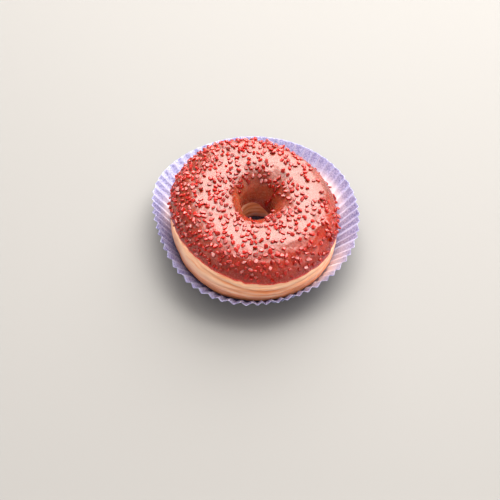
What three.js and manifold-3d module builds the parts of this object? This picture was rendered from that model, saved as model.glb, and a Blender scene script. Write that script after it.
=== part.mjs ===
// A chocolate doughnut in its paper case: a fried dough ring, the chocolate icing over its top with
// flakes of chocolate set in it, and the pleated case that it stands in. Millimetres, Z up. The
// origin is the middle of the case's floor, on the surface that the case stands on.

import * as THREE from "three";
import Module from "manifold-3d";
import { mergeVertices } from "three/addons/utils/BufferGeometryUtils.js";

// A line that runs unevenly round the ring is a mean value and a few waves, each of them
// [waves in a turn, amount, phase in degrees]. Turns are counted from +X towards +Y.

const RING_CENTRE = new THREE.Vector2(-1.2, -5.5); // the doughnut sits forward of the case's middle
const RING_HEIGHT = 42.1;
const OUTER_RADIUS = { mean: 47.65, waves: [[2, 2.55, -132], [3, 0.57, 10]] };
const HOLE_RADIUS = { mean: 9.1, waves: [[1, 2.5, 12], [2, 0.3, 180]] };

// How round the section is on top, in the hole and below: 2 is a true ellipse, more is boxier.
const ROUND_TOP = { mean: 2.44, waves: [] };
const ROUND_IN_HOLE = { mean: 2.9, waves: [[2, 0.35, 0]] };
const ROUND_BOTTOM = { mean: 2.65, waves: [[2, 0.35, 0]] };

const GAP = 0.3; // air between neighbouring pieces
const ICING_THICKNESS = 1.2;
const ICING_EDGE = { mean: 25.0, waves: [[1, 2.4, -123], [2, 1.6, 112], [3, 0.7, -32], [4, 0.4, 124]] };
const ICING_EDGE_IN_HOLE = { mean: 18.5, waves: [[1, 4, 130], [2, 2, -120], [5, 0.5, 20]] };

// A dent in the icing is [turn in degrees, place across the ring in degrees, width, depth].
const ICING_DENTS = [[172, 78, 8, 0.9], [150, 66, 7, 0.7], [300, 62, 7, 0.5], [40, 100, 9, 0.6]];

// A fold in the dough is [from, to in degrees, height at each end, depth].
const DOUGH_FOLDS = [[222, 300, 28.6, 16.3, 0.7], [246, 330, 19.5, 21, 0.6], [20, 110, 20, 17, 0.7],
  [120, 205, 16.5, 21.5, 0.7]];
const FOLD_WIDTH = 1.7;

const PAPER = 0.4;
const FLOOR_RADIUS = 42;
const WALL_LENGTH = 26; // along the slope
// The wall's lean from the floor, in degrees.
const WALL_TILT = { mean: 47.3, waves: [[1, 5.7, -79], [2, 7.1, 36], [3, 4.3, -144], [4, 1.8, 32]] };
const WALL_ROOT = 2; // the wall leaves the floor in a soft bend of about this radius
const PLEATS = 64;

const FLAKES = { count: 125, seed: 4711, longest: 3.3, shortest: 2.4, thickness: 1.3, spacing: 1.25,
  settle: 1.2 }; // how far they lie level rather than along the icing

// Where flakes lie thicker or thinner: [turn, place across, the reach of each in degrees, change].
const FLAKE_PATCHES = [[165, 130, 24, 14, -1], [270, 130, 60, 18, -1], [210, 130, 26, 18, -1],
  [345, 128, 20, 16, -1], [57, 105, 27, 18, -0.9], [15, 80, 24, 24, -0.7], [300, 67, 12, 12, -1],
  [295, 33, 24, 14, -0.6], [215, 27, 24, 10, -0.4], [90, 160, 150, 26, -1.3], [98, 128, 12, 5, 1.6],
  [62, 134, 12, 6, 2.2], [129, 142, 10, 6, 2], [28, 140, 10, 6, 1.6], [44, 172, 12, 7, 3.5],
  [52, 38, 58, 24, -1], [5, 42, 30, 22, -0.7], [165, 75, 50, 36, 0.7], [240, 52, 34, 20, 1],
  [335, 45, 18, 16, -0.1]];

const wasm = await Module();
wasm.setup();

const radians = THREE.MathUtils.degToRad;
const degrees = THREE.MathUtils.radToDeg;
const smooth = THREE.MathUtils.smoothstep;
const lerp = THREE.MathUtils.lerp;

function uneven(line, turn) {
  return line.waves.reduce(
    (sum, [waves, amount, phase]) => sum + amount * Math.cos(waves * turn - radians(phase)), line.mean);
}

function degreesApart(a, b) {
  return Math.abs(THREE.MathUtils.euclideanModulo(a - b + 180, 360) - 180);
}

// Every place on the ring is a turn round its axis and a place across its section, both angles:
// across is 0 on the outside, 90 degrees on top, 180 in the hole and 270 underneath.
// The section is a rounded box between the hole's radius and the outer radius.
function ringSection(turn) {
  const outer = uneven(OUTER_RADIUS, turn);
  const hole = uneven(HOLE_RADIUS, turn);
  return { middle: (outer + hole) / 2, halfWidth: (outer - hole) / 2, halfHeight: RING_HEIGHT / 2 };
}

function ringPoint(turn, across, inset) {
  const { middle, halfWidth, halfHeight } = ringSection(turn);
  const top = Math.cos(across) > 0 ? ROUND_TOP : ROUND_IN_HOLE;
  const power = 2 / uneven(Math.sin(across) > 0 ? top : ROUND_BOTTOM, turn);
  const cos = Math.sign(Math.cos(across)) * Math.abs(Math.cos(across)) ** power;
  const sin = Math.sign(Math.sin(across)) * Math.abs(Math.sin(across)) ** power;
  const radius = middle + (halfWidth - inset) * cos;
  const height = halfHeight + (halfHeight - inset) * sin;
  return new THREE.Vector3(
    RING_CENTRE.x + radius * Math.cos(turn), RING_CENTRE.y + radius * Math.sin(turn), height);
}

// The angle across the section, on its outside, of a height above the ground.
function acrossAtHeight(height, turn, roundAbove) {
  const rise = (height - RING_HEIGHT / 2) / (RING_HEIGHT / 2);
  const power = uneven(rise > 0 ? roundAbove : ROUND_BOTTOM, turn) / 2;
  return Math.asin(Math.sign(rise) * Math.abs(rise) ** power);
}

// Builds a closed mesh from rows of points that all go once round. The last row joins the first,
// or with poles the first and last rows are single points that close the ends.
function closedMesh(rows, poles) {
  const columns = Math.max(...rows.map((row) => row.length));
  const points = [];
  const starts = rows.map((row) => points.push(...row) - row.length);
  const at = (row, column) => starts[row] + (rows[row].length === 1 ? 0 : column % columns);
  const faces = [];
  const joins = poles ? rows.length - 1 : rows.length;
  for (let row = 0; row < joins; row++) {
    const next = (row + 1) % rows.length;
    for (let column = 0; column < columns; column++) {
      const corners = [at(row, column), at(row, column + 1), at(next, column + 1), at(next, column)];
      if (corners[0] !== corners[1]) faces.push(corners[0], corners[1], corners[2]);
      if (corners[2] !== corners[3]) faces.push(corners[0], corners[2], corners[3]);
    }
  }
  const geometry = new THREE.BufferGeometry().setFromPoints(points);
  geometry.setIndex(faces);
  return geometry;
}

function turns(columns) {
  return Array.from({ length: columns }, (_, column) => (2 * Math.PI * column) / columns);
}

function steps(from, to, count) {
  return Array.from({ length: count }, (_, step) => lerp(from, to, step / (count - 1)));
}

// Dough

// The folds are grooves that rise or fall along the ring's side and fade out at their ends.
function foldDepth(turn, height) {
  return DOUGH_FOLDS.reduce((sum, [from, to, heightFrom, heightTo, depth]) => {
    const along = (degrees(turn) - from) / (to - from);
    if (along < 0 || along > 1) return sum;
    const away = (height - lerp(heightFrom, heightTo, along)) / FOLD_WIDTH;
    return sum + depth * Math.sin(Math.PI * along) ** 0.5 * Math.exp(-away * away);
  }, 0);
}

// Under the icing the dough lies deeper by the icing and the air gap. Below it the dough swells
// out to the ring's full size, lower down in the hole than outside, and underneath it is flat
// where it stands on the paper.
function doughPoint(turn, across) {
  const swelling = Math.cos(across) > 0 ? [-30, 0] : [-62, -36];
  const covered = smooth(Math.sin(across), ...swelling.map((angle) => Math.sin(radians(angle))));
  const inset = lerp(0.2, ICING_THICKNESS + GAP, covered);
  const height = ringPoint(turn, across, inset).z;
  const fold = Math.cos(across) > 0 ? foldDepth(turn, height) : 0;
  const point = ringPoint(turn, across, inset + fold);
  point.z = Math.max(point.z, PAPER + GAP);
  return point;
}

function doughRing() {
  const sideRows = steps(-55, 20, 13);
  const otherRows = [...steps(42, 184, 8), ...steps(196, 248, 5), 265, 282];
  const rows = [...sideRows, ...otherRows].map(
    (across) => turns(56).map((turn) => doughPoint(turn, radians(across))));
  return closedMesh(rows, false);
}

// Icing

function dentDepth(turn, across) {
  return ICING_DENTS.reduce((sum, [dentTurn, dentAcross, width, depth]) => {
    const section = ringSection(radians(dentTurn));
    const aside = radians(degreesApart(degrees(turn), dentTurn)) * section.middle;
    const over = radians(degreesApart(degrees(across), dentAcross)) * section.halfWidth;
    return sum + depth * Math.exp(-(aside ** 2 + over ** 2) / width ** 2);
  }, 0);
}

// The icing's share runs from 0 at its outer edge, over the top, to 1 at its edge in the hole.
function icingAcross(turn, share) {
  const outerEdge = acrossAtHeight(uneven(ICING_EDGE, turn), turn, ROUND_TOP);
  const holeEdge = Math.PI - acrossAtHeight(uneven(ICING_EDGE_IN_HOLE, turn), turn, ROUND_IN_HOLE);
  return lerp(outerEdge, holeEdge, share);
}

function icingPoint(turn, share, inset) {
  const across = icingAcross(turn, share);
  return ringPoint(turn, across, inset + dentDepth(turn, across) * (1 - inset / ICING_THICKNESS));
}

// The skin of icing ends in a rounded lip on both sides: its outer face sinks over the last 3%.
function icingSkin() {
  const lip = [[0, 0.85], [0.008, 0.35], [0.03, 0]];
  const lipRows = lip.map(([share, sunk]) => [share, sunk * ICING_THICKNESS]);
  const topRows = steps(0.09, 0.91, 12).map((share) => [share, 0]);
  const farLipRows = lipRows.map(([share, sunk]) => [1 - share, sunk]).reverse();
  const innerRows = steps(1, 0, 11).map((share) => [share, ICING_THICKNESS]);
  const rows = [...lipRows, ...topRows, ...farLipRows, ...innerRows].map(
    ([share, inset]) => turns(56).map((turn) => icingPoint(turn, share, inset)));
  return closedMesh(rows, false);
}

// Even random numbers from 0 to 1, the same ones on every run.
function seededDraws(seed) {
  let state = seed;
  return () => {
    state = (state * 48271) % 2147483647;
    return state / 2147483647;
  };
}

// How likely a flake is to stay where it falls: the ring's own area there, changed by the patches.
function flakeCover(turn, across) {
  const { middle, halfWidth } = ringSection(turn);
  const area = (middle + halfWidth * Math.cos(across)) / (middle + halfWidth);
  const change = FLAKE_PATCHES.reduce((sum, [patchTurn, patchAcross, turnReach, acrossReach, amount]) => {
    const aside = degreesApart(degrees(turn), patchTurn) / turnReach;
    const over = degreesApart(degrees(across), patchAcross) / acrossReach;
    return sum + amount * Math.exp(-(aside ** 2) - over ** 2);
  }, 0);
  return 0.65 * area * Math.max(0, 1 + change);
}

// Drops flakes at random, the longest first, and keeps those that land clear of the ones before.
function fallenFlakes() {
  const draw = seededDraws(FLAKES.seed);
  const flakes = [];
  while (flakes.length < FLAKES.count) {
    const [place, share, chance, tilt, lean, spin, breadth] = Array.from({ length: 7 }, draw);
    const turn = 2 * Math.PI * place;
    const across = icingAcross(turn, lerp(0.05, 0.95, share));
    const length = lerp(FLAKES.longest, FLAKES.shortest, flakes.length / FLAKES.count);
    const spot = ringPoint(turn, across, 0);
    const crowded = flakes.some((flake) => flake.spot.distanceTo(spot)
      < (FLAKES.spacing * (flake.length + length)) / 2);
    if (crowded || chance > flakeCover(turn, across)) continue;
    flakes.push({ turn, across, spot, length, tilt, lean, spin, breadth });
  }
  return flakes;
}

// The direction straight out of the ring at a place, from two short steps along its surface.
function outward(turn, across) {
  const step = 0.01;
  const along = ringPoint(turn + step, across, 0).sub(ringPoint(turn - step, across, 0));
  const over = ringPoint(turn, across + step, 0).sub(ringPoint(turn, across - step, 0));
  return along.cross(over).normalize();
}

// A flake is a flat six-sided lens. Most lie flat in the icing, a little more level than it is, and
// some stand up on their edge.
function flakeGeometry({ turn, across, length, tilt, lean, spin, breadth }) {
  const normal = outward(turn, across);
  const upright = new THREE.Vector3(0, 0, 1);
  const settled = normal.clone().addScaledVector(upright, FLAKES.settle).normalize();
  const steepness = radians(10 + 50 * tilt ** 2);
  const hinge = new THREE.Vector3(Math.cos(2 * Math.PI * lean), Math.sin(2 * Math.PI * lean), 0);
  const attitude = new THREE.Quaternion().setFromUnitVectors(upright, settled)
    .multiply(new THREE.Quaternion().setFromAxisAngle(hinge, steepness))
    .multiply(new THREE.Quaternion().setFromAxisAngle(new THREE.Vector3(0, 0, 1), 2 * Math.PI * spin));
  const width = length * lerp(0.55, 0.85, breadth);
  const size = new THREE.Vector3(length / 2, width / 2, FLAKES.thickness / 2);
  const reach = normal.clone().applyQuaternion(attitude.clone().invert()).multiply(size).length();
  const lift = Math.max(0.15, reach - 0.7);
  const sunkInDent = dentDepth(turn, across);
  const centre = ringPoint(turn, across, 0).addScaledVector(normal, lift - sunkInDent);
  const lens = new THREE.SphereGeometry(1, 6, 2).rotateX(Math.PI / 2);
  return lens.applyMatrix4(new THREE.Matrix4().compose(centre, attitude, size));
}

function toSolid(geometry) {
  const bare = geometry.clone();
  bare.deleteAttribute("normal");
  bare.deleteAttribute("uv");
  const merged = mergeVertices(bare, 1e-4);
  return new wasm.Manifold(new wasm.Mesh({
    numProp: 3,
    vertProperties: new Float32Array(merged.attributes.position.array),
    triVerts: new Uint32Array(merged.index.array),
  }));
}

function toGeometry(solid) {
  const mesh = solid.getMesh();
  const geometry = new THREE.BufferGeometry();
  geometry.setAttribute("position", new THREE.BufferAttribute(mesh.vertProperties, 3));
  geometry.setIndex(new THREE.BufferAttribute(mesh.triVerts, 1));
  return geometry;
}

function icingWithFlakes() {
  const flakes = fallenFlakes().map((flake) => toSolid(flakeGeometry(flake)));
  return toGeometry(flakes.reduce((whole, flake) => whole.add(flake), toSolid(icingSkin())));
}

// Paper case

// The height of the dough's underside over a point of the floor, endless where no dough is above.
// The dough is taken a gap wider than it is, so that the wall clears its side too.
function undersideHeight(x, y) {
  const turn = Math.atan2(y - RING_CENTRE.y, x - RING_CENTRE.x);
  const { middle, halfWidth, halfHeight } = ringSection(turn);
  const away = Math.abs(Math.hypot(x - RING_CENTRE.x, y - RING_CENTRE.y) - middle) / (halfWidth + GAP);
  if (away >= 1) return Infinity;
  const power = uneven(ROUND_BOTTOM, turn);
  return halfHeight * (1 - (1 - away ** power) ** (1 / power));
}

// The case was pressed from a flat disc, so its wall keeps the disc's length round the rim. What
// the wall's smaller circle leaves over is taken up by the pleats, which deepen towards the rim.
function pleatDepth(radius, along) {
  const pitch = (2 * Math.PI * radius) / PLEATS;
  return (pitch / 4) * Math.sqrt(Math.max(0, ((FLOOR_RADIUS + along) / radius) ** 2 - 1));
}

// A point of the wall, along its slope from the floor. Side is 1 on the face towards the dough and
// -1 on the back, and pleat is 1 on a ridge and -1 in a valley. The dough presses the paper down
// where it lies low over it, but never below the ground.
function casePoint(turn, along, side, pleat) {
  const tilt = radians(uneven(WALL_TILT, turn));
  const rise = Math.sqrt(along ** 2 + WALL_ROOT ** 2) - WALL_ROOT;
  const radius = FLOOR_RADIUS + along * Math.cos(tilt);
  const depth = pleatDepth(radius, along);
  const pressed = undersideHeight(radius * Math.cos(turn), radius * Math.sin(turn));
  const height = Math.min(PAPER / 2 + rise * Math.sin(tilt), pressed - 2 * GAP - PAPER / 2 - depth);
  const slope = Math.atan2(Math.sin(tilt) * (along / Math.hypot(along, WALL_ROOT)), Math.cos(tilt));
  const offset = side * (PAPER / 2) + pleat * depth;
  const outwards = radius - offset * Math.sin(slope);
  const ground = side < 0 ? 0 : PAPER;
  return new THREE.Vector3(outwards * Math.cos(turn), outwards * Math.sin(turn),
    Math.max(ground, height + offset * Math.cos(slope)));
}

function paperCase() {
  const wallRows = [0, 0.12, 0.24, 0.36, 0.5, 0.74, 1].map((share) => share * WALL_LENGTH);
  const ring = (along, side) => turns(2 * PLEATS).map(
    (turn, column) => casePoint(turn, along, side, column % 2 ? -1 : 1));
  const backRows = wallRows.map((along) => ring(along, -1));
  const frontRows = wallRows.map((along) => ring(along, 1)).reverse();
  const floorMiddle = (height) => [new THREE.Vector3(0, 0, height)];
  return closedMesh([floorMiddle(0), ...backRows, ...frontRows, floorMiddle(PAPER)], true);
}

// Finishes

function friedDough() {
  return new THREE.MeshStandardMaterial({ color: "#dfa176", roughness: 0.75, metalness: 0 });
}

function chocolate() {
  return new THREE.MeshStandardMaterial({ color: "#8f332b", roughness: 0.35, metalness: 0 });
}

function greaseproofPaper() {
  return new THREE.MeshStandardMaterial({ color: "#c3b4d2", roughness: 0.85, metalness: 0 });
}

function piece(name, geometry, material) {
  geometry.computeVertexNormals();
  const mesh = new THREE.Mesh(geometry, material);
  mesh.name = name;
  return mesh;
}

const doughnut = new THREE.Group();
doughnut.add(piece("dough_ring", doughRing(), friedDough()));
doughnut.add(piece("chocolate_icing", icingWithFlakes(), chocolate()));
doughnut.add(piece("paper_case", paperCase(), greaseproofPaper()));

export default doughnut;
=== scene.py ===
import bpy
import numpy as np
from mathutils import Matrix, Vector


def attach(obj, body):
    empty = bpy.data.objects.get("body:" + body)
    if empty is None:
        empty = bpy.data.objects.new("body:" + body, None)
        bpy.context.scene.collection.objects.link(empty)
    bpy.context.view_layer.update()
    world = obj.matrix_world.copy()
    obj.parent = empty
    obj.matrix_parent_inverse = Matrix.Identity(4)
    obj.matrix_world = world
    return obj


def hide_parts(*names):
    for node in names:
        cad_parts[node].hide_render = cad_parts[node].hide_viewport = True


# A chocolate doughnut in its paper case. Shapes are worked out in millimetres and put into
# Blender in metres. Turn is the angle round the ring from +X towards +Y, and across is the
# angle round its section: 0 outside, 90 degrees on top, 180 in the hole, 270 underneath.

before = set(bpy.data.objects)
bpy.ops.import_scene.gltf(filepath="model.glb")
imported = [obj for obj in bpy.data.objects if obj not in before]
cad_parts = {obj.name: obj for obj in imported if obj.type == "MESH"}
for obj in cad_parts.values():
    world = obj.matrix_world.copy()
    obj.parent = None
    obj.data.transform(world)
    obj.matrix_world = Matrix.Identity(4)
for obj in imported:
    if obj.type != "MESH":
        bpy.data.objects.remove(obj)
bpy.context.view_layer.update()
mm = 0.001
fullTurn = 2 * np.pi
tiny = 1e-9  # keeps a division clear of nought

# Camera and light

camera = {
    "target": (-2.5, -11.05, 0.0),  # mm, the ground in the middle of the picture
    "distance": 616.8,  # mm
    "elevation": 52.77,  # degrees above the ground
    "yaw": 1.83,  # degrees that it looks from +Y towards +X
    "roll": 1.53,  # degrees that it's turned anticlockwise about its own view
    "lens": 78.6,  # mm
    "sensorWidth": 36.0,  # mm
    "clipStart": 0.05,  # m, nothing nearer is drawn
}

lights = {
    # each softbox is (name, width and depth in m, middle, the point it faces, radiance)
    "softboxes": [("overheadSoftbox", (2.4, 1.2), (0.1, 0.25, 1.2), (0.1, 0.25, 0.0), 2.8),
                  ("backSoftbox", (1.7, 1.1), (0.3, 0.98, 0.65), (0.0, 0.0, 0.0), 6.3),
                  ("highSoftbox", (1.1, 0.8), (0.2, 0.43, 1.12), (0.0, 0.0, 0.0), 5.9),
                  ("frontFill", (0.8, 0.5), (0.05, -0.8, 0.8), (0.0, 0.0, 0.02), 2.6),
                  ("leftCard", (1.0, 0.4), (-1.15, -0.25, 0.25), (0.0, 0.0, 0.02), 1.5),
                  ("rightCard", (1.0, 0.4), (1.0, -0.5, 0.22), (0.0, 0.0, 0.02), 2.6)],
    "unreflected": ["frontFill"],  # lights that lighten the shadows and leave no sheen of their own
    "softboxColour": "#fffaf3",
    "skyColour": "#fff1e4",
    "skyStrength": 0.5,
}

floorSquare = {
    "half": 3.0,  # m, well past the picture's edges
    "colour": "#7c7c7c",
    "roughness": 0.7,
}


def linearColour(hexColour):
    # an sRGB hex colour as the linear values that Blender's sockets take, by the standard's curve:
    # a straight line in the darkest tones and a power of 2.4 above them
    parts = np.array([int(hexColour[i:i + 2], 16) for i in (1, 3, 5)]) / 255
    linear = np.where(parts <= 0.04045, parts / 12.92, ((parts + 0.055) / 1.055) ** 2.4)
    return (*linear.tolist(), 1.0)


def placeCamera(view):
    # the camera stands back from its target along its view, which yaw turns and elevation tips.
    # Its right and up are the level ones, turned about the view by the roll
    elevation, yaw, roll = np.radians([view["elevation"], view["yaw"], view["roll"]])
    ahead = np.cos(elevation)
    forward = Vector((np.sin(yaw) * ahead, np.cos(yaw) * ahead, -np.sin(elevation)))
    levelRight = Vector((np.cos(yaw), -np.sin(yaw), 0.0))
    levelUp = levelRight.cross(forward)
    right = levelRight * np.cos(roll) + levelUp * np.sin(roll)
    up = levelUp * np.cos(roll) - levelRight * np.sin(roll)
    place = (Vector(view["target"]) - forward * view["distance"]) * mm
    data = bpy.data.cameras.new("camera")
    data.lens = view["lens"]
    data.sensor_width = view["sensorWidth"]
    data.clip_start = view["clipStart"]
    item = bpy.data.objects.new("camera", data)
    bpy.context.scene.collection.objects.link(item)
    item.matrix_world = Matrix.Translation(place) @ Matrix((right, up, -forward)).transposed().to_4x4()
    bpy.context.scene.camera = item


def addSoftboxes(settings):
    # a softbox's power in watts is its radiance times pi times its area
    for name, size, place, aim, radiance in settings["softboxes"]:
        data = bpy.data.lights.new(name, "AREA")
        data.shape = "RECTANGLE"
        data.size, data.size_y = size
        data.energy = radiance * np.pi * size[0] * size[1]
        data.color = linearColour(settings["softboxColour"])[:3]
        item = bpy.data.objects.new(name, data)
        bpy.context.scene.collection.objects.link(item)
        item.location = place
        item.rotation_mode = "QUATERNION"
        item.rotation_quaternion = (Vector(aim) - item.location).to_track_quat("-Z", "Y")
        item.visible_camera = False
        item.visible_glossy = name not in settings["unreflected"]


def addSky(settings):
    # an even light from all round
    world = bpy.data.worlds.new("sky")
    world.use_nodes = True
    background = world.node_tree.nodes["Background"]
    background.inputs["Color"].default_value = linearColour(settings["skyColour"])
    background.inputs["Strength"].default_value = settings["skyStrength"]
    bpy.context.scene.world = world


# Materials. In each look, the size and depth of a noise and the reach of the scatter are in mm,
# and a ramp's stops are (position, colour).

mixSockets = {"factor": 0, "first": 6, "second": 7, "result": 2}  # the Mix node's, for colours


def addNode(tree, kind, settings=None, links=None, stops=()):
    # adds a node, sets its sockets or options by name, links its inputs, fills a ramp's stops
    node = tree.nodes.new(kind)
    for name, value in (settings or {}).items():
        if isinstance(name, int) or name in node.inputs:
            node.inputs[name].default_value = value
        else:
            setattr(node, name, value)
    for name, source in (links or {}).items():
        tree.links.new(source, node.inputs[name])
    for number, (position, hexColour) in enumerate(stops):
        ramp = node.color_ramp.elements
        stop = ramp[number] if number < len(ramp) else ramp.new(position)
        stop.position = position
        stop.color = linearColour(hexColour)
    return node


def newMaterial(name):
    # a material with its node tree and its shader
    material = bpy.data.materials.new(name)
    material.use_nodes = True
    tree = material.node_tree
    return material, tree, tree.nodes["Principled BSDF"]


def readAttribute(tree, name):
    # the number that a mesh holds by that name at each of its points
    return addNode(tree, "ShaderNodeAttribute", {"attribute_name": name}).outputs["Fac"]


def addNoise(tree, noise):
    # a noise of the stated size, fixed to the piece by its object coordinates
    place = addNode(tree, "ShaderNodeTexCoord").outputs["Object"]
    settings = {"Scale": 1 / (noise["size"] * mm), "Detail": noise["detail"]}
    return addNode(tree, "ShaderNodeTexNoise", settings, {"Vector": place}).outputs["Fac"]


def calculate(tree, operation, *values, clamp=False):
    # a Math node on sockets and plain numbers
    node = addNode(tree, "ShaderNodeMath", {"operation": operation, "use_clamp": clamp})
    for number, value in enumerate(values):
        if isinstance(value, float):
            node.inputs[number].default_value = value
        else:
            tree.links.new(value, node.inputs[number])
    return node.outputs["Value"]


def rampColour(tree, value, stops):
    # the colour that the stops give at a value
    return addNode(tree, "ShaderNodeValToRGB", None, {"Fac": value}, stops).outputs["Color"]


def mixIn(tree, colour, share, hexColour):
    # the colour, with that share of another one in its place
    settings = {"data_type": "RGBA", mixSockets["second"]: linearColour(hexColour)}
    links = {mixSockets["factor"]: share, mixSockets["first"]: colour}
    return addNode(tree, "ShaderNodeMix", settings, links).outputs[mixSockets["result"]]


def addBump(tree, height, noise):
    # the normals of a surface that the noise raises by up to its depth
    settings = {"Strength": noise["strength"], "Distance": noise["depth"] * mm}
    return addNode(tree, "ShaderNodeBump", settings, {"Height": height}).outputs["Normal"]


def finishSurface(tree, shader, look, colour, normal):
    # links the colour and the normals, and says how the surface reflects and how light spreads
    # below it: how much of it, how far for red, green and blue as shares, and its reach
    tree.links.new(colour, shader.inputs["Base Color"])
    tree.links.new(normal, shader.inputs["Normal"])
    shader.inputs["IOR"].default_value = look["refraction"]
    shader.inputs["Specular IOR Level"].default_value = look["reflection"]
    shader.inputs["Subsurface Weight"].default_value = look["scatter"]
    shader.inputs["Subsurface Radius"].default_value = look["scatterTint"]
    shader.inputs["Subsurface Scale"].default_value = look["scatterReach"] * mm


friedDoughLook = {
    "crustAndFill": [(0.0, "#f0c4a4"), (0.5, "#ee9e70"), (1.0, "#f8a068")],  # from pale to well browned; the browned end is also lightened, a painted fill for the shaded underside
    "foldTint": "#cc7036",
    "streaks": 0.35,  # how far they shift the browning
    "blotches": {"size": 5.0, "detail": 4.0, "amount": 0.5},
    "pores": {"size": 0.9, "detail": 3.0, "depth": 0.15, "strength": 0.35},
    "roughness": 0.62,
    "refraction": 1.45,
    "reflection": 0.5,
    "scatter": 0.15,
    "scatterTint": (1.0, 0.5, 0.3),
    "scatterReach": 2.0,
}


def friedDough(look):
    # yeast dough fried in oil: matt and a little translucent, pale where it floated, browned
    # below, where the colour is also lightened as a painted fill for the shade under it. The blotches shift
    # the browning by half their amount either way
    material, tree, shader = newMaterial("friedDough")
    amount = look["blotches"]["amount"]
    blotched = calculate(tree, "MULTIPLY_ADD", addNoise(tree, look["blotches"]), amount, -amount / 2)
    streaked = calculate(tree, "MULTIPLY_ADD", readAttribute(tree, "streak"), look["streaks"], blotched)
    browned = calculate(tree, "ADD", readAttribute(tree, "baked"), streaked, clamp=True)
    crustAndFill = rampColour(tree, browned, look["crustAndFill"])
    tinted = mixIn(tree, crustAndFill, readAttribute(tree, "fold"), look["foldTint"])
    pores = addNoise(tree, look["pores"])
    finishSurface(tree, shader, look, tinted, addBump(tree, pores, look["pores"]))
    shader.inputs["Roughness"].default_value = look["roughness"]
    return material


setChocolateLook = {
    "body": [(0.35, "#70200b"), (0.65, "#7e2812")],  # over the clouds
    # painted fill: a lighter red low on the front side, where the icing gets little light
    "paintedSideFill": "#9a1c00",
    # painted fill: a lighter, greyer brown for the icing in the hole, which lies in shade
    "paintedHoleFill": "#944630",
    "thinEdge": "#da382c",
    "clouds": {"size": 9.0, "detail": 3.0},
    "bloom": {"size": 1.2, "detail": 4.0, "depth": 0.2, "strength": 1.0},
    "roughness": 0.27,
    "roughnessSpread": 0.06,  # either way, over the bloom
    "refraction": 1.5,
    "reflection": 0.72,
    "scatter": 0.6,
    "scatterTint": (1.0, 0.12, 0.06),
    "scatterReach": 3.0,
}


def setChocolate(look):
    # poured chocolate icing that has set: smooth with a satin sheen, and redder along its thin edges. Low
    # on the front side and in the hole it's painted lighter, a painted fill for the shade there
    material, tree, shader = newMaterial("setChocolate")
    colour = rampColour(tree, addNoise(tree, look["clouds"]), look["body"])
    # mixes in the painted fills on the front side and in the hole, then the red of the thin edges
    for attribute, tint in (("side", "paintedSideFill"), ("inHole", "paintedHoleFill"), ("thin", "thinEdge")):
        colour = mixIn(tree, colour, readAttribute(tree, attribute), look[tint])
    bloom = addNoise(tree, look["bloom"])
    limits = {"To Min": look["roughness"] - look["roughnessSpread"],
              "To Max": look["roughness"] + look["roughnessSpread"]}
    dull = addNode(tree, "ShaderNodeMapRange", limits, {"Value": bloom})
    tree.links.new(dull.outputs["Result"], shader.inputs["Roughness"])
    finishSurface(tree, shader, look, colour, addBump(tree, bloom, look["bloom"]))
    return material


flakeChocolateLook = {
    "shades": [(0.0, "#7c0c02"), (1.0, "#ac1206")],
    "grain": {"size": 0.7, "detail": 2.0, "depth": 0.1, "strength": 0.3},
    "roughness": 0.24,
    "refraction": 1.5,
    "reflection": 0.65,
    "scatter": 1.0,
    "scatterTint": (1.0, 0.12, 0.06),
    "scatterReach": 3.0,
}


def flakeChocolate(look):
    # cut chocolate flakes: each of its own tone, darker down the sides and in the hole as painted shade,
    # with a fine grain and the icing's satin sheen
    material, tree, shader = newMaterial("flakeChocolate")
    colour = rampColour(tree, readAttribute(tree, "toneAndPaintedShade"), look["shades"])
    grain = addNoise(tree, look["grain"])
    finishSurface(tree, shader, look, colour, addBump(tree, grain, look["grain"]))
    shader.inputs["Roughness"].default_value = look["roughness"]
    return material


greaseproofPaperLook = {
    "sheet": [(0.36, "#7070a0"), (0.62, "#a0a4c6")],  # over the fibres
    # painted highlight along the pleats' crests, which shares its attribute with the white band at the rim
    "crestHighlightAndRim": "#a4a6be",
    # painted light: pale patches on the wall where light falls strongly
    "paintedLight": "#e6e0e6",
    "fibres": {"size": 0.9, "detail": 4.0, "depth": 0.1, "strength": 0.4},
    "roughness": 0.5,
    "refraction": 1.5,
    "reflection": 0.3,
    "scatter": 0.5,
    "scatterTint": (1.0, 0.9, 1.0),
    "scatterReach": 0.3,
}


def greaseproofPaper(look):
    # thin pressed paper: matt fibres under a waxy sheen, with painted highlights along the pleats' crests,
    # whiter at the rim, and pale patches of painted light
    material, tree, shader = newMaterial("greaseproofPaper")
    fibres = addNoise(tree, look["fibres"])
    colour = rampColour(tree, fibres, look["sheet"])
    for tint in ("crestHighlightAndRim", "paintedLight"):
        colour = mixIn(tree, colour, readAttribute(tree, tint), look[tint])
    finishSurface(tree, shader, look, colour, addBump(tree, fibres, look["fibres"]))
    shader.inputs["Roughness"].default_value = look["roughness"]
    return material


# Shapes

noiseWaves = {
    "count": 20,
    "lengths": (0.7, 1.4),  # the shortest and the longest, as shares of the noise's size
}


def softNoise(points, size, seed):
    # smooth unevenness of about 1 either way: a sum of plane waves near that size in mm, each
    # with a random direction and phase, divided by the root of twice their number
    count = noiseWaves["count"]
    draw = np.random.default_rng(seed)
    directions = draw.normal(size=(count, 3))
    directions /= np.linalg.norm(directions, axis=1, keepdims=True)
    lengths = size * draw.uniform(*noiseWaves["lengths"], (count, 1))
    phases = draw.uniform(0, fullTurn, count)
    return np.cos(points @ (fullTurn * directions / lengths).T + phases).sum(-1) / np.sqrt(2 * count)


def layeredNoise(points, layers, seed):
    # a sum of soft noises from layers of (amount, size in mm), each with the next seed
    return sum(
        amount * softNoise(points, size, seed + number) for number, (amount, size) in enumerate(layers))


def smoothStep(value, low, high):
    # 0 up to low and 1 from high on. Between them, 3 times the share squared less twice its cube
    share = np.clip((value - low) / (high - low), 0, 1)
    return share * share * (3 - 2 * share)


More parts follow.
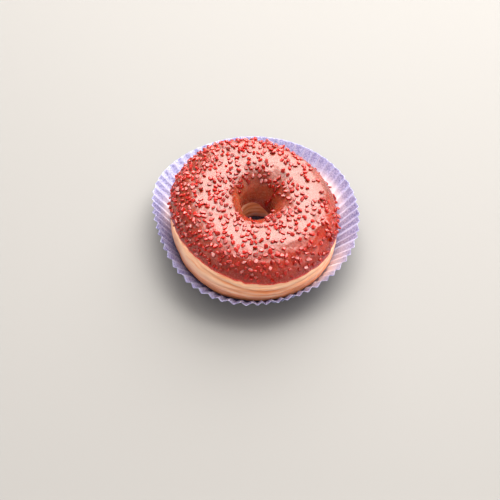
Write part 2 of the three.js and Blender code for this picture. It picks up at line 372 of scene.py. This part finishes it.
def bell(away, reach):
    # 1 in the middle, fading out: e to the power of minus the square of away over the reach
    return np.exp(-(away / reach) ** 2)


def uneven(line, turn):
    # a mean value and a few waves round the ring: (waves in a turn, amount, phase in degrees)
    return line["mean"] + sum(
        amount * np.cos(waves * turn - np.radians(phase)) for waves, amount, phase in line["waves"])


def degreesApart(a, b):
    # the angle between two directions in degrees, the shorter way round
    return np.abs((a - b + 180) % 360 - 180)


def turnsRound(columns):
    # as many angles as columns, evenly round a full turn
    return np.linspace(0, fullTurn, columns, endpoint=False)[None, :]


def smoothMesh(name, places, faces):
    # a smoothly shaded mesh from places in mm
    mesh = bpy.data.meshes.new(name)
    mesh.from_pydata((places * mm).tolist(), [], faces)
    mesh.polygons.foreach_set("use_smooth", np.ones(len(faces), bool))
    return mesh


def meshFromGrid(name, points, poles=False):
    # points is (rows, columns, 3) in mm. Columns close on themselves, and so do rows, unless the
    # first and last rows are poles, whose columns all meet in one point
    rows, columns = points.shape[:2]
    number = np.arange(rows * columns).reshape(rows, columns)
    places = points.reshape(-1, 3)
    if poles:
        number = number - (columns - 1)
        number[0] = 0
        number[-1] = number[-2, -1] + 1
        places = np.concatenate([points[:1, 0], points[1:-1].reshape(-1, 3), points[-1:, 0]])
    right = np.roll(number, -1, axis=1)
    below = np.roll(number, -1, axis=0)
    corners = np.stack([number, right, np.roll(right, -1, axis=0), below], -1)
    if poles:
        corners = corners[:-1]
    faces = [tuple(dict.fromkeys(face)) for face in corners.reshape(-1, 4).tolist()]
    return smoothMesh(name, places, faces)


def addAttribute(mesh, name, values):
    # a number at each point, which the material reads by this name
    attribute = mesh.attributes.new(name, "FLOAT", "POINT")
    attribute.data.foreach_set("value", np.asarray(values, np.float32).ravel())


def addPiece(mesh, material, slotName, *nodes):
    # puts the mesh in the scene with its material, under the root body, in place of the solid's nodes. The
    # slot name is not used
    item = bpy.data.objects.new(mesh.name, mesh)
    bpy.context.scene.collection.objects.link(item)
    mesh.materials.append(material)
    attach(item, "root")
    if nodes:
        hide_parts(*nodes)


ring = {
    "centre": (-1.2, -5.5),  # mm, forward of the case's middle
    "height": 42.1,
    "outer": {"mean": 47.65, "waves": [(2, 2.55, -132), (3, 0.57, 10)]},
    "hole": {"mean": 9.1, "waves": [(1, 2.5, 12), (2, 0.3, 180)]},
    "roundTop": 2.44,  # 2 is a true ellipse, more is boxier
    "roundInHole": {"mean": 2.9, "waves": [(2, 0.35, 0)]},
    "roundBottom": {"mean": 2.65, "waves": [(2, 0.35, 0)]},
    "normalStep": 0.01,  # radians
}


def ringSection(turn):
    # the middle of the section, out from the ring's centre, and half its width
    outer = uneven(ring["outer"], turn)
    hole = uneven(ring["hole"], turn)
    return (outer + hole) / 2, (outer - hole) / 2


def ringSurface(turn, across, inset=0.0):
    # a rounded box swept round the centre: its half sizes, less the inset, times the cosine and
    # sine of the angle across, each raised to 2 over the roundness
    middle, halfWidth = ringSection(turn)
    halfHeight = ring["height"] / 2
    top = np.where(np.cos(across) > 0, ring["roundTop"], uneven(ring["roundInHole"], turn))
    power = 2 / np.where(np.sin(across) > 0, top, uneven(ring["roundBottom"], turn))
    cosine = np.sign(np.cos(across)) * np.abs(np.cos(across)) ** power
    sine = np.sign(np.sin(across)) * np.abs(np.sin(across)) ** power
    radius = middle + (halfWidth - inset) * cosine
    height = halfHeight + (halfHeight - inset) * sine
    x = ring["centre"][0] + radius * np.cos(turn)
    y = ring["centre"][1] + radius * np.sin(turn)
    return np.stack(np.broadcast_arrays(x, y, height), -1)


def ringNormal(turn, across):
    # the outward direction: the cross product of small steps along the two angles
    step = ring["normalStep"]
    along = ringSurface(turn + step, across) - ringSurface(turn - step, across)
    over = ringSurface(turn, across + step) - ringSurface(turn, across - step)
    normal = np.cross(along, over)
    return normal / np.linalg.norm(normal, axis=-1, keepdims=True)


def acrossAtHeight(height, turn, roundTop):
    # the angle across at a height on the ring's outside: the arcsine of the height from the
    # middle, as a share of half the ring's, raised to half the roundness
    rise = (height - ring["height"] / 2) / (ring["height"] / 2)
    power = np.where(rise > 0, roundTop, uneven(ring["roundBottom"], turn)) / 2
    return np.arcsin(np.sign(rise) * np.abs(rise) ** power)


dough = {
    "columns": 420,
    # each run of rows is (from, to in degrees across, how many), closest where the dough shows
    "rows": [(-60, 26, 116), (34, 148, 14), (154, 238, 50), (246, 294, 8)],
    "coveredInset": 1.25,  # mm, how far it lies below the icing's face
    "bareInset": 0.15,
    "dip": 3.0,  # degrees across, over which it dips before the icing's edge
    "dipPast": 0.75,  # and past it
    "standsAt": 0.7,  # mm, its flat underside
    # each fold is (from, to in degrees, height at both ends, depth, width in mm)
    "outerFolds": [(222, 300, 28.6, 16.3, 0.7, 1.3), (246, 330, 19.5, 21, 0.6, 1.3),
                   (20, 110, 20, 17, 0.7, 1.6), (120, 205, 16.5, 21.5, 0.7, 1.6),
                   (232, 300, 20.6, 15.2, 0.4, 0.8), (226, 262, 25.0, 23.4, 0.25, 0.6),
                   (262, 312, 24.0, 25.0, 0.25, 0.6)],
    "holeFolds": [(40, 165, 20.2, 19.2, 1.0, 0.7), (45, 160, 16.9, 16.2, 1.3, 0.8),
                  (50, 155, 13.6, 12.6, 1.2, 0.8), (200, 330, 13.0, 11.0, 0.7, 1.2)],
    "fullFold": 1.3,  # mm, the depth at which a fold has its full tint
    "fullFoldInHole": 0.9,
    "swells": [(0.3, 16), (0.12, 5), (0.04, 1.8)],  # (height, size in mm)
    "streakSize": 1.7,  # mm across a streak
    "streakPull": 0.09,  # a streak is this much finer across than along
    "streakRelief": 0.1,  # mm
    "waist": (9, 21),  # mm, browned below the first height and pale above the second
    "holeBaked": 0.45,  # how browned the hole is at its foot
    "holePaler": 0.2,  # how much less further up
    "holeWaist": (0, 10),  # mm, the heights between which it gets paler
    "seed": 11,
    "streakSeed": 14,
}


def foldRelief(folds, turn, height):
    # the depth of the folds. Each is a bell-shaped groove about a line that rises or falls along
    # the side, times the root of a sine along it, so that it fades out at its ends
    depth = np.zeros(np.broadcast(turn, height).shape)
    for start, end, heightFrom, heightTo, deep, width in folds:
        along = np.clip((np.degrees(turn) % 360 - start) / (end - start), 0, 1)
        line = heightFrom + (heightTo - heightFrom) * along
        depth += deep * np.sqrt(np.sin(np.pi * along)) * bell(height - line, width)
    return depth


def makeDough(spec):
    # the ring's surface, sunk under the icing, grooved by its folds and a little uneven, with its
    # underside flat where it stands
    across = np.radians(np.concatenate([np.linspace(*run) for run in spec["rows"]]))[:, None]
    turn = turnsRound(spec["columns"])
    outerEdge, holeEdge = icingEdges(turn)
    dip, past = np.radians([spec["dip"], spec["dipPast"]])
    covered = smoothStep(across, outerEdge - dip, outerEdge + past)
    covered = covered * (1 - smoothStep(across, holeEdge - past, holeEdge + dip))
    inset = spec["bareInset"] + (spec["coveredInset"] - spec["bareInset"]) * covered
    base = ringSurface(turn, across, inset)
    outside = np.cos(across) > 0
    fold = np.where(outside, foldRelief(spec["outerFolds"], turn, base[..., 2]),
                    foldRelief(spec["holeFolds"], turn, base[..., 2]))
    # streaks run along the side where the dough was stretched: a noise drawn out sideways
    drawnOut = base * (spec["streakPull"], spec["streakPull"], 1.0)
    streak = softNoise(drawnOut, spec["streakSize"], spec["streakSeed"])
    swell = layeredNoise(base, spec["swells"], spec["seed"]) + spec["streakRelief"] * streak
    points = ringSurface(turn, across, inset + fold - swell * (1 - covered))
    points[..., 2] = np.maximum(points[..., 2], spec["standsAt"])
    mesh = meshFromGrid("doughRing", points)
    height = points[..., 2]
    bakedInHole = spec["holeBaked"] - spec["holePaler"] * smoothStep(height, *spec["holeWaist"])
    addAttribute(mesh, "baked", np.where(outside, 1 - smoothStep(height, *spec["waist"]), bakedInHole))
    fullFold = np.where(outside, spec["fullFold"], spec["fullFoldInHole"])
    addAttribute(mesh, "fold", np.clip(fold / fullFold, 0, 1))
    addAttribute(mesh, "streak", streak)
    return mesh


icing = {
    "columns": 480,
    "thickness": 1.05,  # mm
    "edge": {"mean": 25.0, "waves": [(1, 2.4, -123), (2, 1.6, 112), (3, 0.7, -32), (4, 0.4, 124),
                                     (19, 0.16, 40), (31, 0.2, 200), (47, 0.14, 90)]},
    # each drip is (turn, its reach in degrees, how far it hangs down in mm)
    "drips": [(264, 1.6, 1.0), (226, 2.4, 0.8), (240, 1.8, 0.5), (208, 2.0, 0.7)],
    "edgeInHole": {"mean": 18.5, "waves": [(1, 4.0, 130), (2, 2.0, -120), (5, 0.5, 20)]},
    # each dent is (turn, across in degrees, width, depth in mm)
    "dents": [(172, 78, 8, 0.9), (150, 66, 7, 0.7), (300, 62, 7, 0.5), (40, 100, 9, 0.6)],
    # each ridge is (turn at both ends, across at both ends in degrees, width, height in mm)
    "ridges": [(248, 280, 60, 50, 1.6, 0.45), (318, 342, 68, 54, 1.8, 0.45),
               (282, 312, 78, 70, 2.2, 0.4), (58, 84, 110, 118, 2.2, 0.5),
               (205, 236, 44, 38, 1.6, 0.35), (20, 62, 92, 100, 1.8, 0.35),
               (172, 196, 92, 62, 2.0, 0.4), (262, 292, 38, 34, 1.4, 0.3)],
    "swells": [(0.26, 19), (0.24, 8.5), (0.07, 3.2)],  # (depth, size in mm)
    # a share is 0 at the outer edge and 1 at the edge in the hole
    "lipRows": 9,
    "lipShare": 0.014,  # the width of the rounded lip
    "topRows": (0.02, 0.98, 132),  # the shares of the first and last row, how many
    "innerRows": (0.99, 0.01, 16),
    "thinEdge": (0.012, 0.028),  # shares from an edge: thin up to the first, not past the second
    "thinInHole": 0.3,  # how thin it is at its edge in the hole, where 1 is as outside
    "lowSide": (0.12, 0.45),  # shares: the low side up to the first, not past the second
    "frontHalf": (-0.3, 0.4),  # minus the sine of turn: the front from the second, none before the first
    "sideFillRound": {"mean": 0.55, "waves": [(1, 0.45, 330)]},  # how strongly the painted fill shows round the ring
    "inHole": (0.64, 0.88),  # shares: none up to the first, all from the second
    "seed": 31,
}


def icingEdges(turn):
    # the angle across of the icing's outer edge and of its edge in the hole. The outer one hangs
    # lower at its drips
    height = uneven(icing["edge"], turn)
    for dripTurn, reach, drop in icing["drips"]:
        height = height - drop * bell(degreesApart(np.degrees(turn), dripTurn), reach)
    inHole = acrossAtHeight(uneven(icing["edgeInHole"], turn), turn, uneven(ring["roundInHole"], turn))
    return acrossAtHeight(height, turn, ring["roundTop"]), np.pi - inHole


def icingAcross(turn, share):
    # the angle across at a share of the way from the icing's outer edge over the top to its edge
    # in the hole
    outerEdge, holeEdge = icingEdges(turn)
    return outerEdge + (holeEdge - outerEdge) * share


def icingSunk(turn, across):
    # how far the icing's face lies below the ring's: bell-shaped dents, less the ridges, and soft
    # swells where it ran
    sunk = layeredNoise(ringSurface(turn, across), icing["swells"], icing["seed"])
    for dentTurn, dentAcross, width, depth in icing["dents"]:
        middle, halfWidth = ringSection(np.radians(dentTurn))
        aside = np.radians(degreesApart(np.degrees(turn), dentTurn)) * middle
        over = np.radians(degreesApart(np.degrees(across), dentAcross)) * halfWidth
        sunk = sunk + depth * bell(aside, width) * bell(over, width)
    for turnFrom, turnTo, acrossFrom, acrossTo, width, height in icing["ridges"]:
        along = np.clip((np.degrees(turn) % 360 - turnFrom) / (turnTo - turnFrom), 0, 1)
        away = np.degrees(across) - acrossFrom - (acrossTo - acrossFrom) * along
        middle, halfWidth = ringSection(turn)
        sunk = sunk - height * np.sin(np.pi * along) * bell(np.radians(away) * halfWidth, width)
    return sunk


def makeIcing(spec):
    # a skin over the ring's top: an outer face with its swells, an inner face one thickness
    # below, and between them a lip rounded as a quarter circle
    lipAngle = np.linspace(0, np.pi / 2, spec["lipRows"])
    lipShare = spec["lipShare"] * (1 - np.cos(lipAngle))
    lipInset = spec["thickness"] * (1 - np.sin(lipAngle))
    top = np.linspace(*spec["topRows"])
    inner = np.linspace(*spec["innerRows"])
    share = np.concatenate([lipShare, top, 1 - lipShare[::-1], inner])[:, None]
    inset = np.concatenate([lipInset, 0 * top, lipInset[::-1], 0 * inner + spec["thickness"]])[:, None]
    turn = turnsRound(spec["columns"])
    across = icingAcross(turn, share)
    sunk = icingSunk(turn, across) * (1 - inset / spec["thickness"])
    mesh = meshFromGrid("chocolateIcing", ringSurface(turn, across, inset + sunk))
    everyColumn = np.ones_like(turn)
    edgeShare = np.minimum(share, 1 - share)
    thinness = np.where(share < 1 - share, 1.0, spec["thinInHole"])
    addAttribute(mesh, "thin", (1 - smoothStep(edgeShare, *spec["thinEdge"])) * thinness * everyColumn)
    # painted fill: the low front side, which the material paints a lighter red
    onSide = (1 - smoothStep(share, *spec["lowSide"])) * smoothStep(-np.sin(turn), *spec["frontHalf"])
    addAttribute(mesh, "side", onSide * uneven(spec["sideFillRound"], turn))
    addAttribute(mesh, "inHole", smoothStep(share, *spec["inHole"]) * everyColumn)
    return mesh


flakes = {
    "count": 690,
    "cadCount": 125,  # the longest ones, which the solid model holds too
    "seed": 4711,
    "landing": (0.05, 0.9),  # the share across the icing where they begin, and the span
    "cover": 0.65,  # the chance that one stays on plain icing
    # lengths in mm of the first and last that the solid model holds, then of the first and last
    # of the others
    "longest": 3.3,
    "middle": 2.4,
    "rest": 3.1,
    "shortest": 2.1,
    "width": (0.55, 0.3),  # as a share of the length: the least, and the most that chance adds
    "thickness": 1.2,  # mm
    "thickShares": (0.7, 1.1),  # the thinnest and the thickest, as shares of that
    "outlineWaves": (0.04, 0.16),  # the least and the most, as shares of the outline's radius
    "cup": (-0.12, 0.2),  # mm, the least and the most by which the rim stands above the middle
    "rimPower": 0.3,  # lower is blunter
    "facePower": 0.4,  # lower is flatter
    "rings": 7,
    "sides": 14,
    "spacing": 1.25,  # the least distance as a share of two flakes' mean length
    "closeSpacing": 0.8,  # and for the others
    "steepness": (10, 50),  # degrees: the least, and the most that chance adds
    "settle": 0.9,  # how far they lie level rather than along the icing
    "settleLess": 0.7,  # the share of that which is lost in the hole
    "leastLift": 0.3,  # mm from the icing to a flake's middle
    "sunk": 0.25,  # mm of a raised flake's edge that is in the icing
    # the cosine of across, from where a flake begins to count as on the side to where it fully
    # does, and the same in the hole with minus the cosine
    "onSide": (0.35, 0.8),
    "inHole": (0.1, 0.6),
    "paintedSideShade": 0.6,  # painted shade: how much darker they are down the sides
    "paintedHoleShade": 0.95,  # and in the hole
    # each patch is (turn, across, the reach of each in degrees, change in cover)
    "patches": [(165, 130, 24, 14, -1), (270, 130, 60, 18, -1), (210, 130, 26, 18, -1),
                (345, 128, 20, 16, -1), (57, 105, 27, 18, -0.9), (15, 80, 24, 24, -0.7),
                (300, 67, 12, 12, -1), (295, 33, 24, 14, -0.6), (215, 27, 24, 10, -0.4),
                (90, 160, 150, 26, -1.3), (98, 128, 12, 5, 1.6), (62, 134, 12, 6, 2.2),
                (129, 142, 10, 6, 2.0), (28, 140, 10, 6, 1.6), (44, 172, 12, 7, 3.5),
                (52, 38, 58, 24, -1), (5, 42, 30, 22, -0.7), (165, 75, 50, 36, 0.7),
                (240, 52, 34, 20, 1.0), (335, 45, 18, 16, -0.1)],
}


def flakeCover(turn, across):
    # how likely a flake is to stay where it falls: the ring's own area there as a share of that
    # at its outside, times 1 and the change that the patches make
    middle, halfWidth = ringSection(turn)
    area = (middle + halfWidth * np.cos(across)) / (middle + halfWidth)
    change = sum(
        amount * bell(degreesApart(np.degrees(turn), patchTurn), turnReach)
        * bell(degreesApart(np.degrees(across), patchAcross), acrossReach)
        for patchTurn, patchAcross, turnReach, acrossReach, amount in flakes["patches"])
    return flakes["cover"] * area * max(0.0, 1 + change)


def seededDraws(seed):
    # even random numbers from 0 to 1, by the same rule as the solid model's: the last one times
    # 48271, less whole multiples of 2 to the 31 less 1
    state = seed
    while True:
        state = (state * 48271) % 2147483647
        yield state / 2147483647


def fallenFlakes(spec):
    # drops flakes at random, the longest first, and keeps those that land clear of the others
    draws = seededDraws(spec["seed"])
    landFrom, landSpan = spec["landing"]
    kept = np.zeros((spec["count"], 7))
    spots = np.zeros((spec["count"], 3))
    number = 0
    while number < spec["count"]:
        place, share, chance, tilt, lean, spin, breadth = (next(draws) for _ in range(7))
        turn = fullTurn * place
        across = float(icingAcross(turn, landFrom + landSpan * share))
        if number < spec["cadCount"]:
            size = spec["longest"] + (spec["middle"] - spec["longest"]) * number / spec["cadCount"]
            spacing = spec["spacing"]
        else:
            later = (number - spec["cadCount"]) / (spec["count"] - spec["cadCount"])
            size = spec["rest"] + (spec["shortest"] - spec["rest"]) * later
            spacing = spec["closeSpacing"]
        spot = ringSurface(turn, across)
        away = np.linalg.norm(spots[:number] - spot, axis=1)
        if (away < spacing * (kept[:number, 2] + size) / 2).any() or chance > flakeCover(turn, across):
            continue
        kept[number] = (turn, across, size, tilt, lean, spin, breadth)
        spots[number] = spot
        number += 1
    return kept, spots


def turnedAbout(vectors, axis, angle):
    # vectors turned about unit axes: the part along the axis stays and the rest goes round
    cosine, sine = np.cos(angle)[..., None], np.sin(angle)[..., None]
    along = (vectors * axis).sum(-1, keepdims=True) * axis
    return along + (vectors - along) * cosine + np.cross(axis, vectors) * sine


def makeFlakes(spec):
    # every flake is a rounded disc on a grid of rings and sides: its outline is a circle with a
    # twofold and a threefold wave, its rim is blunt and its middle cupped. It's spun about its
    # own axis, tipped about a level hinge, and swung over with the slope that it settles on
    kept, spots = fallenFlakes(spec)
    count = len(kept)
    turn, across, size, tilt, lean, spin, breadth = kept.T
    draw = np.random.default_rng(spec["seed"])
    normal = ringNormal(turn, across)
    leastSteep, moreSteep = spec["steepness"]
    steepness = np.radians(leastSteep + moreSteep * tilt ** 2)
    upright = np.array([0.0, 0.0, 1.0])
    inHole = smoothStep(-np.cos(across), *spec["inHole"])
    settled = normal + spec["settle"] * (1 - spec["settleLess"] * inHole)[:, None] * upright
    settled /= np.linalg.norm(settled, axis=1, keepdims=True)
    swing = np.cross(upright, settled)
    angle = np.arccos(np.clip(settled[:, 2], -1, 1))
    swing /= np.maximum(np.linalg.norm(swing, axis=1, keepdims=True), tiny)
    hinge = np.stack([np.cos(fullTurn * lean), np.sin(fullTurn * lean), 0 * lean], -1)
    leastWidth, moreWidth = spec["width"]
    width = size * (leastWidth + moreWidth * breadth)

    side = turnsRound(spec["sides"])
    down = np.linspace(0, np.pi, spec["rings"] + 2)[:, None]
    waves = draw.uniform(*spec["outlineWaves"], (2, count, 1, 1))
    phases = draw.uniform(0, fullTurn, (2, count, 1, 1))
    outline = 1 + waves[0] * np.cos(2 * side + phases[0]) + waves[1] * np.cos(3 * side + phases[1])
    reach = np.sin(down) ** spec["rimPower"] * outline
    cup = draw.uniform(*spec["cup"], (count, 1, 1))
    thick = spec["thickness"] * draw.uniform(*spec["thickShares"], (count, 1, 1))
    dome = np.sign(np.cos(down)) * np.abs(np.cos(down)) ** spec["facePower"]
    flat = np.stack([
        reach * np.cos(side) * size[:, None, None] / 2,
        reach * np.sin(side) * width[:, None, None] / 2,
        dome * thick / 2 + cup * (reach ** 2 - 1 / 2)], -1)

    shape = flat.reshape(count, -1, 3)
    shape = turnedAbout(shape, upright, fullTurn * spin[:, None])
    shape = turnedAbout(shape, hinge[:, None], steepness[:, None])
    shape = turnedAbout(shape, swing[:, None], angle[:, None])
    axis = turnedAbout(turnedAbout(np.tile(upright, (count, 1)), hinge, steepness), swing, angle)
    rise = np.sqrt(np.maximum(1 - (axis * normal).sum(-1) ** 2, 0))
    lift = np.maximum(spec["leastLift"], width / 2 * rise - spec["sunk"])
    centre = spots + normal * (lift - icingSunk(turn, across))[:, None]
    shape += centre[:, None]
    # painted shade: flakes down the sides and in the hole are made darker, on top of each one's own random
    # tone
    onSide = smoothStep(np.cos(across), *spec["onSide"])
    darker = np.maximum(spec["paintedSideShade"] * onSide, spec["paintedHoleShade"] * inHole)
    toneAndPaintedShade = draw.uniform(0, 1, count) * (1 - darker)

    rings = shape.reshape(count, spec["rings"] + 2, spec["sides"], 3)
    body = rings[:, 1:-1].reshape(count, -1, 3)
    places = np.concatenate([rings[:, 0, :1], body, rings[:, -1, :1]], axis=1)
    each = places.shape[1]
    faces = flakeFaces(spec["rings"], spec["sides"], np.arange(count) * each)
    mesh = smoothMesh("chocolateFlakes", places.reshape(-1, 3), faces)
    addAttribute(mesh, "toneAndPaintedShade", np.repeat(toneAndPaintedShade, each))
    return mesh


def flakeFaces(rings, sides, starts):
    # the faces of flakes whose points begin at these numbers: a fan at the top, bands of quads,
    # and a fan at the bottom
    number = 1 + np.arange(rings * sides).reshape(rings, sides)
    right = np.roll(number, -1, axis=1)
    first = 0 * number[0]
    last = first + rings * sides + 1
    top = np.stack([first, number[0], right[0]], -1)
    bottom = np.stack([last, right[-1], number[-1]], -1)
    bands = np.stack([number[:-1], number[1:], right[1:], right[:-1]], -1).reshape(-1, 4)
    faces = []
    for one in (top, bands, bottom):
        faces += (one + starts[:, None, None]).reshape(-1, one.shape[1]).tolist()
    return faces


paperCase = {
    "paper": 0.12,  # mm, thicker than real greaseproof paper so that its edge shows
    "floorRadius": 42.0,
    "floorRows": 14,
    "floorStop": 0.5,  # mm, the last of them stops short of the wall
    "wallLength": 26.0,
    "wallRows": 34,
    "wallCrowding": 0.9,  # 1 spaces them evenly, and less crowds them towards the rim
    "tilt": {"mean": 47.3, "waves": [(1, 5.7, -79), (2, 7.1, 36), (3, 4.3, -144), (4, 1.8, 32)]},
    "root": 2.0,  # mm, how soft the bend from the floor to the wall is
    "pleats": 64,
    "columnsPerPleat": 12,
    "pleatDepth": 1.2,  # how much deeper than evenly pressed paper, as the case was squeezed
    "pleatShift": 0.18,  # how far a pleat is out of its place either way, as a share of its width
    "crestAt": 0.53,  # the crest's place across a pleat: they all lean a little one way
    "crestRounding": 0.12,  # how much of the zigzag's cube is taken off it
    "innermost": 1.0,  # mm, the least radius that the pleats' depth is worked out for
    "gap": 0.6,  # mm of air under the dough's side
    "crestHighlight": 0.6,  # painted highlight: how white the pleats' crests are
    "highlightOnZigzag": (0.5, 1.0),  # on the zigzag, where 1 is the crest: none at the first, all at the second
    "highlightUpWall": (1.0, 6.0),  # the same in mm up the wall
    "rim": 0.15,  # how white the rim is
    "rimBand": (0.5, 0.2),  # mm below the rim: none at the first, all at the second
    # each painted patch of light is (turn in degrees, mm up the wall, the reach of each, how white)
    "paintedLight": [(32, 15, 20, 3.5, 0.8), (168, 13, 12, 4, 0.6), (318, 14, 20, 9, 0.9)],
    "seed": 71,
}


def undersideHeight(x, y):
    # the height of the dough's underside over a point of the floor: the lower curve of the ring's
    # section, widened by the gap. Beside the dough it's endless
    turn = np.arctan2(y - ring["centre"][1], x - ring["centre"][0])
    middle, halfWidth = ringSection(turn)
    fromMiddle = np.abs(np.hypot(x - ring["centre"][0], y - ring["centre"][1]) - middle)
    away = fromMiddle / (halfWidth + paperCase["gap"])
    power = uneven(ring["roundBottom"], turn)
    height = ring["height"] / 2 * (1 - (1 - np.minimum(away, 1) ** power) ** (1 / power))
    return np.where(away >= 1, np.inf, height)


def makeCase(spec):
    # a disc pressed into a cup: the floor is flat, the wall leaves it in a soft bend, and its
    # zigzag of pleats is as deep as the disc's own rim length needs at each radius
    pleats = spec["pleats"]
    turn = turnsRound(pleats * spec["columnsPerPleat"])
    floor = np.linspace(-spec["floorRadius"], -spec["floorStop"], spec["floorRows"])
    wall = spec["wallLength"] * np.linspace(0, 1, spec["wallRows"]) ** spec["wallCrowding"]
    along = np.concatenate([floor, wall])[:, None]
    onWall = np.maximum(along, 0)
    tilt = np.radians(uneven(spec["tilt"], turn))
    rise = np.sqrt(onWall ** 2 + spec["root"] ** 2) - spec["root"]
    radius = np.where(along < 0, spec["floorRadius"] + along, spec["floorRadius"] + onWall * np.cos(tilt))
    draw = np.random.default_rng(spec["seed"])
    shifts = np.append(draw.uniform(-spec["pleatShift"], spec["pleatShift"], pleats), 0.0)
    pleatNumber = turn * pleats / fullTurn
    pleat = (pleatNumber + np.interp(pleatNumber, np.arange(pleats + 1), shifts)) % 1
    zigzag = 2 * np.minimum(pleat / spec["crestAt"], (1 - pleat) / (1 - spec["crestAt"])) - 1
    rounded = zigzag - spec["crestRounding"] * zigzag ** 3
    safeRadius = np.maximum(radius, spec["innermost"])
    spare = np.maximum(((spec["floorRadius"] + onWall) / safeRadius) ** 2 - 1, 0)
    depth = np.where(along > 0, spec["pleatDepth"] * np.pi * safeRadius / pleats / 2 * np.sqrt(spare), 0)
    underside = undersideHeight(radius * np.cos(turn), radius * np.sin(turn))
    pressed = np.maximum(underside, dough["standsAt"]) - spec["gap"] - spec["paper"] / 2 - depth
    height = np.minimum(spec["paper"] / 2 + rise * np.sin(tilt), pressed)
    slope = np.arctan2(np.sin(tilt) * onWall / np.hypot(onWall, spec["root"]), np.cos(tilt))
    faces = []
    for side, ground in ((-1, 0.0), (1, spec["paper"])):
        offset = side * spec["paper"] / 2 + rounded * depth
        outwards = radius - offset * np.sin(slope)
        z = np.maximum(height + offset * np.cos(slope), ground)
        faces.append(np.stack([outwards * np.cos(turn), outwards * np.sin(turn), z], -1))
    mesh = meshFromGrid("paperCase", np.concatenate([faces[0], faces[1][::-1]]), poles=True)
    # painted highlight along the pleats' crests; the rim's white band joins it in one attribute
    crestHighlight = smoothStep(zigzag, *spec["highlightOnZigzag"]) * smoothStep(onWall, *spec["highlightUpWall"])
    rimFrom, rimFull = spec["wallLength"] - np.array(spec["rimBand"])
    rim = spec["rim"] * smoothStep(onWall, rimFrom, rimFull)
    # painted light: pale patches on the wall, standing in for light falling on it
    paintedLight = sum(
        white * bell(degreesApart(np.degrees(turn), lightTurn), turnReach) * bell(onWall - lightHeight, reach)
        for lightTurn, lightHeight, turnReach, reach, white in spec["paintedLight"])
    crestHighlightAndRim = np.maximum(spec["crestHighlight"] * crestHighlight, rim)
    for name, values in (("crestHighlightAndRim", crestHighlightAndRim), ("paintedLight", np.clip(paintedLight, 0, 1))):
        both = np.concatenate([0 * values, values[::-1]])
        addAttribute(mesh, name, np.concatenate([[0.0], both[1:-1].ravel(), [0.0]]))
    return mesh


def addFloor(settings):
    # a plain pale floor, a flat square
    mesh = bpy.data.meshes.new("floor")
    half = settings["half"]
    corners = [(-half, -half, 0), (half, -half, 0), (half, half, 0), (-half, half, 0)]
    mesh.from_pydata(corners, [], [(0, 1, 2, 3)])
    material, _, shader = newMaterial("paintedFloor")
    shader.inputs["Base Color"].default_value = linearColour(settings["colour"])
    shader.inputs["Roughness"].default_value = settings["roughness"]
    mesh.materials.append(material)
    item = bpy.data.objects.new("floor", mesh)
    bpy.context.scene.collection.objects.link(item)


bpy.context.scene.view_settings.view_transform = "Standard"
placeCamera(camera)
addSoftboxes(lights)
addSky(lights)
addFloor(floorSquare)
print("camera, light and floor are in place")

addPiece(makeDough(dough), friedDough(friedDoughLook), "dough", "dough_ring")
print("dough is shaped")
addPiece(makeIcing(icing), setChocolate(setChocolateLook), "icing", "chocolate_icing")
print("icing is poured")
addPiece(makeFlakes(flakes), flakeChocolate(flakeChocolateLook), "icing")
print("flakes are scattered")
addPiece(makeCase(paperCase), greaseproofPaper(greaseproofPaperLook), "paper", "paper_case")
print("case is pleated")
